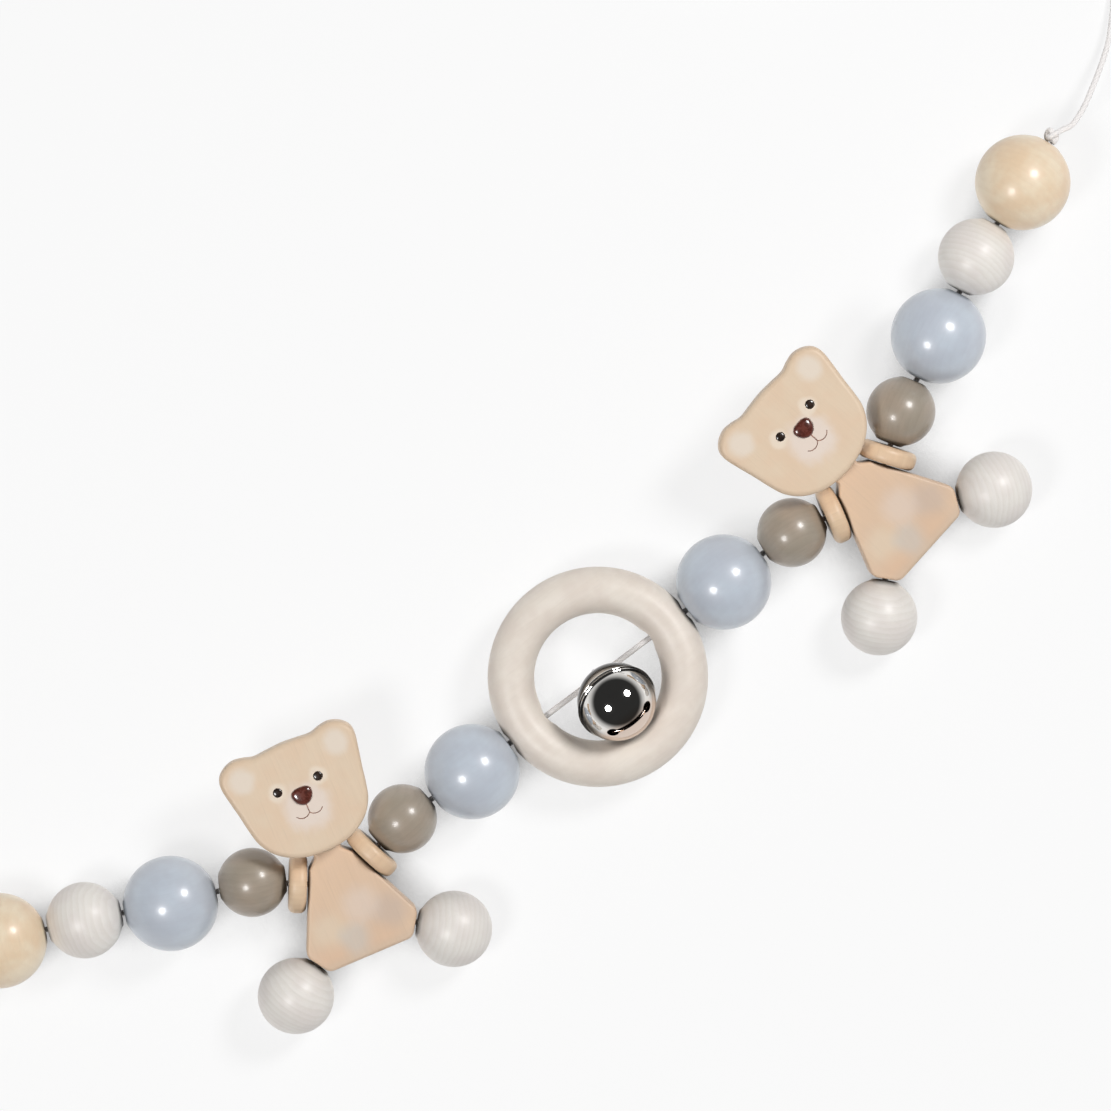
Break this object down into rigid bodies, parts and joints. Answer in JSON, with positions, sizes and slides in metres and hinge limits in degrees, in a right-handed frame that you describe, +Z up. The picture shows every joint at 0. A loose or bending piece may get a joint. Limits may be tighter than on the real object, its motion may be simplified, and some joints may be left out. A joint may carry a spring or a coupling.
{
  "type": "pram chain toy",
  "caption": "Pram chain of flat wooden bears, round wooden beads and a grab ring with a bell, strung on elastic cord with a clip at each end.",
  "frame": {"origin": "on the surface under the toy, at the middle of its footprint without the end cords and clips", "axes": "+Z up from the surface, +X along the longer side of the footprint towards the right end, +Y away from the feet of the bears"},
  "size_m": [0.2691, 0.238, 0.0255],
  "materials": {
    "natural_wood": "clear lacquer over pale wood",
    "white_wood": "thin white stain with the grain showing",
    "blue_wood": "smooth pale blue lacquer",
    "grey_wood": "smooth warm grey lacquer",
    "ring_wood": "thin cream stain, satin",
    "head_wood": "clear satin lacquer with a printed face",
    "body_wood": "clear satin lacquer with soft pastel dots",
    "arm_wood": "clear satin lacquer",
    "cord": "braided white elastic",
    "bell_metal": "polished",
    "steel": "plain wire",
    "clip_plastic": "satin white"
  },
  "bodies": {
    "ring": {"ring": "ring_wood"},
    "cord_in_ring": {"ring_cord": "cord"},
    "bell": {"bell_upper_shell": "bell_metal", "bell_lower_shell": "bell_metal", "bell_eye": "steel"},
    "bell_pellet": {"bell_pellet": "steel"},
    "right_inner_blue_link": {"right_inner_blue_cord": "cord"},
    "right_inner_grey_link": {"right_inner_grey_cord": "cord"},
    "right_bear": {"right_bear_body": "body_wood", "right_bear_head": "head_wood", "right_neck_dowel": "arm_wood", "right_bear_cord": "cord", "right_leg_cord": "cord"},
    "right_outer_grey_link": {"right_outer_grey_cord": "cord"},
    "right_outer_blue_link": {"right_outer_blue_cord": "cord"},
    "right_white_link": {"right_white_cord": "cord"},
    "right_natural_link": {"right_natural_cord": "cord"},
    "right_end": {"right_end_cord": "cord", "right_clip_lower_jaw": "clip_plastic", "right_clip_pin": "steel", "right_clip_spring": "steel"},
    "right_clip_upper_jaw": {"right_clip_upper_jaw": "clip_plastic"},
    "right_inner_blue_bead": {"right_inner_blue_bead": "blue_wood"},
    "right_inner_grey_bead": {"right_inner_grey_bead": "grey_wood"},
    "right_inner_arm_disc": {"right_inner_arm_disc": "arm_wood"},
    "right_outer_arm_disc": {"right_outer_arm_disc": "arm_wood"},
    "right_inner_foot": {"right_inner_foot": "white_wood"},
    "right_outer_foot": {"right_outer_foot": "white_wood"},
    "right_outer_grey_bead": {"right_outer_grey_bead": "grey_wood"},
    "right_outer_blue_bead": {"right_outer_blue_bead": "blue_wood"},
    "right_white_bead": {"right_white_bead": "white_wood"},
    "right_natural_bead": {"right_natural_bead": "natural_wood"},
    "left_inner_blue_link": {"left_inner_blue_cord": "cord"},
    "left_inner_grey_link": {"left_inner_grey_cord": "cord"},
    "left_bear": {"left_bear_body": "body_wood", "left_bear_head": "head_wood", "left_neck_dowel": "arm_wood", "left_bear_cord": "cord", "left_leg_cord": "cord"},
    "left_outer_grey_link": {"left_outer_grey_cord": "cord"},
    "left_outer_blue_link": {"left_outer_blue_cord": "cord"},
    "left_white_link": {"left_white_cord": "cord"},
    "left_natural_link": {"left_natural_cord": "cord"},
    "left_end": {"left_end_cord": "cord", "left_clip_lower_jaw": "clip_plastic", "left_clip_pin": "steel", "left_clip_spring": "steel"},
    "left_clip_upper_jaw": {"left_clip_upper_jaw": "clip_plastic"},
    "left_inner_blue_bead": {"left_inner_blue_bead": "blue_wood"},
    "left_inner_grey_bead": {"left_inner_grey_bead": "grey_wood"},
    "left_inner_arm_disc": {"left_inner_arm_disc": "arm_wood"},
    "left_outer_arm_disc": {"left_outer_arm_disc": "arm_wood"},
    "left_inner_foot": {"left_inner_foot": "white_wood"},
    "left_outer_foot": {"left_outer_foot": "white_wood"},
    "left_outer_grey_bead": {"left_outer_grey_bead": "grey_wood"},
    "left_outer_blue_bead": {"left_outer_blue_bead": "blue_wood"},
    "left_white_bead": {"left_white_bead": "white_wood"},
    "left_natural_bead": {"left_natural_bead": "natural_wood"}
  },
  "joints": [
    {"name": "bell_swing", "type": "hinge", "parent": "ring", "child": "bell", "pos_m": [0.01994, -0.02026, 0.01], "axis": [-0.7986, -0.6018, 0], "range_deg": [0, 83]},
    {"name": "ring_turn", "type": "hinge", "parent": "ring", "child": "cord_in_ring", "pos_m": [0.01994, -0.02026, 0.01], "axis": [0.7986, 0.6018, 0], "continuous": true},
    {"name": "right_bear_flip", "type": "hinge", "parent": "right_inner_blue_link", "child": "right_inner_grey_link", "pos_m": [0.05448, 0.00554, 0.01], "axis": [0.6624, 0.7492, 0], "range_deg": [-90, 90]},
    {"name": "right_flip_return", "type": "hinge", "parent": "right_outer_grey_link", "child": "right_outer_blue_link", "pos_m": [0.08661, 0.04188, 0.01], "axis": [0.6624, 0.7492, 0], "range_deg": [-90, 90]},
    {"name": "left_bear_flip", "type": "hinge", "parent": "left_inner_blue_link", "child": "left_inner_grey_link", "pos_m": [-0.0148, -0.04578, 0.01], "axis": [-0.9179, -0.3968, 0], "range_deg": [-90, 90]},
    {"name": "left_flip_return", "type": "hinge", "parent": "left_outer_grey_link", "child": "left_outer_blue_link", "pos_m": [-0.05952, -0.06511, 0.01], "axis": [-0.9179, -0.3968, 0], "range_deg": [-90, 90]},
    {"name": "right_clip_open", "type": "hinge", "parent": "right_end", "child": "right_clip_upper_jaw", "pos_m": [0.04886, 0.13583, 0.0068], "axis": [0, 1, 0], "range_deg": [0, 12], "stiffness_Nm_per_rad": 0.05, "springref_deg": -22.92, "deforming": ["right_clip_spring"]},
    {"name": "left_clip_open", "type": "hinge", "parent": "left_end", "child": "left_clip_upper_jaw", "pos_m": [-0.13335, 0.02805, 0.0068], "axis": [1, 0, 0], "range_deg": [0, 12], "stiffness_Nm_per_rad": 0.05, "springref_deg": -22.92, "deforming": ["left_clip_spring"]},
    {"name": "right_end_swing", "type": "hinge", "parent": "right_natural_link", "child": "right_end", "pos_m": [0.11516, 0.09333, 0.01], "axis": [0, 0, 1], "range_deg": [-30, 30]},
    {"name": "left_end_swing", "type": "hinge", "parent": "left_natural_link", "child": "left_end", "pos_m": [-0.11695, -0.07825, 0.01], "axis": [0, 0, 1], "range_deg": [-30, 30]},
    {"name": "right_inner_blue_bend", "type": "hinge", "parent": "cord_in_ring", "child": "right_inner_blue_link", "pos_m": [0.03849, -0.00629, 0.01], "axis": [0, 0, 1], "range_deg": [-8, 8]},
    {"name": "right_bear_bend", "type": "hinge", "parent": "right_inner_grey_link", "child": "right_bear", "pos_m": [0.0673, 0.01286, 0.01], "axis": [0, 0, -1], "range_deg": [-8, 8]},
    {"name": "right_outer_grey_bend", "type": "hinge", "parent": "right_bear", "child": "right_outer_grey_link", "pos_m": [0.08106, 0.02816, 0.01], "axis": [0, 0, 1], "range_deg": [-8, 8]},
    {"name": "right_white_bend", "type": "hinge", "parent": "right_outer_blue_link", "child": "right_white_link", "pos_m": [0.09553, 0.06017, 0.01], "axis": [0, 0, -1], "range_deg": [-15, 15]},
    {"name": "right_natural_bend", "type": "hinge", "parent": "right_white_link", "child": "right_natural_link", "pos_m": [0.10338, 0.07448, 0.01], "axis": [0, 0, 1], "range_deg": [-15, 15]},
    {"name": "left_inner_blue_bend", "type": "hinge", "parent": "cord_in_ring", "child": "left_inner_blue_link", "pos_m": [0.00139, -0.03424, 0.01], "axis": [0, 0, 1], "range_deg": [-8, 8]},
    {"name": "left_bear_bend", "type": "hinge", "parent": "left_inner_grey_link", "child": "left_bear", "pos_m": [-0.02597, -0.0554, 0.01], "axis": [0, 0, -1], "range_deg": [-8, 8]},
    {"name": "left_outer_grey_bend", "type": "hinge", "parent": "left_bear", "child": "left_outer_grey_link", "pos_m": [-0.04491, -0.06344, 0.01], "axis": [0, 0, 1], "range_deg": [-8, 8]},
    {"name": "left_white_bend", "type": "hinge", "parent": "left_outer_blue_link", "child": "left_white_link", "pos_m": [-0.07936, -0.0696, 0.01], "axis": [0, 0, -1], "range_deg": [-15, 15]},
    {"name": "left_natural_bend", "type": "hinge", "parent": "left_white_link", "child": "left_natural_link", "pos_m": [-0.09534, -0.07307, 0.01], "axis": [0, 0, 1], "range_deg": [-15, 15]},
    {"name": "bell_pellet_roll", "type": "hinge", "parent": "bell", "child": "bell_pellet", "pos_m": [0.02383, -0.02542, 0.01724], "axis": [0.7986, 0.6018, 0], "range_deg": [-60, 60]},
    {"name": "right_inner_blue_bead_spin", "type": "hinge", "parent": "right_inner_blue_link", "child": "right_inner_blue_bead", "pos_m": [0.04625, -0.00044, 0.01], "axis": [0.804, 0.5947, 0], "continuous": true},
    {"name": "right_inner_grey_bead_spin", "type": "hinge", "parent": "right_inner_grey_link", "child": "right_inner_grey_bead", "pos_m": [0.06049, 0.0099, 0.01], "axis": [0.8682, 0.4962, 0], "continuous": true},
    {"name": "right_inner_arm_disc_spin", "type": "hinge", "parent": "right_bear", "child": "right_inner_arm_disc", "pos_m": [0.0692, 0.01369, 0.01], "axis": [-0.9157, -0.3999, 0.0384], "continuous": true},
    {"name": "right_outer_arm_disc_spin", "type": "hinge", "parent": "right_bear", "child": "right_outer_arm_disc", "pos_m": [0.08044, 0.02618, 0.01], "axis": [0.302, 0.9525, 0.0384], "continuous": true},
    {"name": "right_inner_foot_spin", "type": "hinge", "parent": "right_bear", "child": "right_inner_foot", "pos_m": [0.0788, -0.00782, 0.008], "axis": [-0.1582, -0.9861, -0.0504], "continuous": true},
    {"name": "right_outer_foot_spin", "type": "hinge", "parent": "right_bear", "child": "right_outer_foot", "pos_m": [0.10284, 0.01888, 0.008], "axis": [0.9642, 0.2604, -0.0504], "continuous": true},
    {"name": "right_outer_grey_bead_spin", "type": "hinge", "parent": "right_outer_grey_link", "child": "right_outer_grey_bead", "pos_m": [0.0833, 0.03524, 0.01], "axis": [0.3746, 0.9272, 0], "continuous": true},
    {"name": "right_outer_blue_bead_spin", "type": "hinge", "parent": "right_outer_blue_link", "child": "right_outer_blue_bead", "pos_m": [0.09115, 0.05099, 0.01], "axis": [0.4384, 0.8988, 0], "continuous": true},
    {"name": "right_white_bead_spin", "type": "hinge", "parent": "right_white_link", "child": "right_white_bead", "pos_m": [0.09905, 0.06755, 0.01], "axis": [0.481, 0.8767, 0], "continuous": true},
    {"name": "right_natural_bead_spin", "type": "hinge", "parent": "right_natural_link", "child": "right_natural_bead", "pos_m": [0.10877, 0.08311, 0.01], "axis": [0.5299, 0.848, 0], "continuous": true},
    {"name": "left_inner_blue_bead_spin", "type": "hinge", "parent": "left_inner_blue_link", "child": "left_inner_blue_bead", "pos_m": [-0.00636, -0.04009, 0.01], "axis": [-0.8145, -0.5802, 0], "continuous": true},
    {"name": "left_inner_grey_bead_spin", "type": "hinge", "parent": "left_inner_grey_link", "child": "left_inner_grey_bead", "pos_m": [-0.02096, -0.04993, 0.01], "axis": [-0.7576, -0.6528, 0], "continuous": true},
    {"name": "left_inner_arm_disc_spin", "type": "hinge", "parent": "left_bear", "child": "left_inner_arm_disc", "pos_m": [-0.02737, -0.05693, 0.01], "axis": [0.6763, 0.7356, 0.0384], "continuous": true},
    {"name": "left_outer_arm_disc_spin", "type": "hinge", "parent": "left_bear", "child": "left_outer_arm_disc", "pos_m": [-0.04284, -0.0635, 0.01], "axis": [-0.999, 0.0245, 0.0384], "continuous": true},
    {"name": "left_inner_foot_spin", "type": "hinge", "parent": "left_bear", "child": "left_inner_foot", "pos_m": [-0.01016, -0.07301, 0.008], "axis": [0.9839, -0.1715, -0.0504], "continuous": true},
    {"name": "left_outer_foot_spin", "type": "hinge", "parent": "left_bear", "child": "left_outer_foot", "pos_m": [-0.04323, -0.08705, 0.008], "axis": [-0.5601, -0.8269, -0.0504], "continuous": true},
    {"name": "left_outer_grey_bead_spin", "type": "hinge", "parent": "left_outer_grey_link", "child": "left_outer_grey_bead", "pos_m": [-0.05233, -0.06325, 0.01], "axis": [-0.9936, -0.1132, 0], "continuous": true},
    {"name": "left_outer_blue_bead_spin", "type": "hinge", "parent": "left_outer_blue_link", "child": "left_outer_blue_bead", "pos_m": [-0.06937, -0.06766, 0.01], "axis": [-0.9753, -0.2207, 0], "continuous": true},
    {"name": "left_white_bead_spin", "type": "hinge", "parent": "left_white_link", "child": "left_white_bead", "pos_m": [-0.08739, -0.07116, 0.01], "axis": [-0.9772, -0.2122, 0], "continuous": true},
    {"name": "left_natural_bead_spin", "type": "hinge", "parent": "left_natural_link", "child": "left_natural_bead", "pos_m": [-0.10523, -0.07544, 0.01], "axis": [-0.9724, -0.2334, 0], "continuous": true}
  ],
  "couplings": [
    {"joint": "right_flip_return", "follows": "right_bear_flip", "ratio": -1},
    {"joint": "left_flip_return", "follows": "left_bear_flip", "ratio": -1}
  ]
}
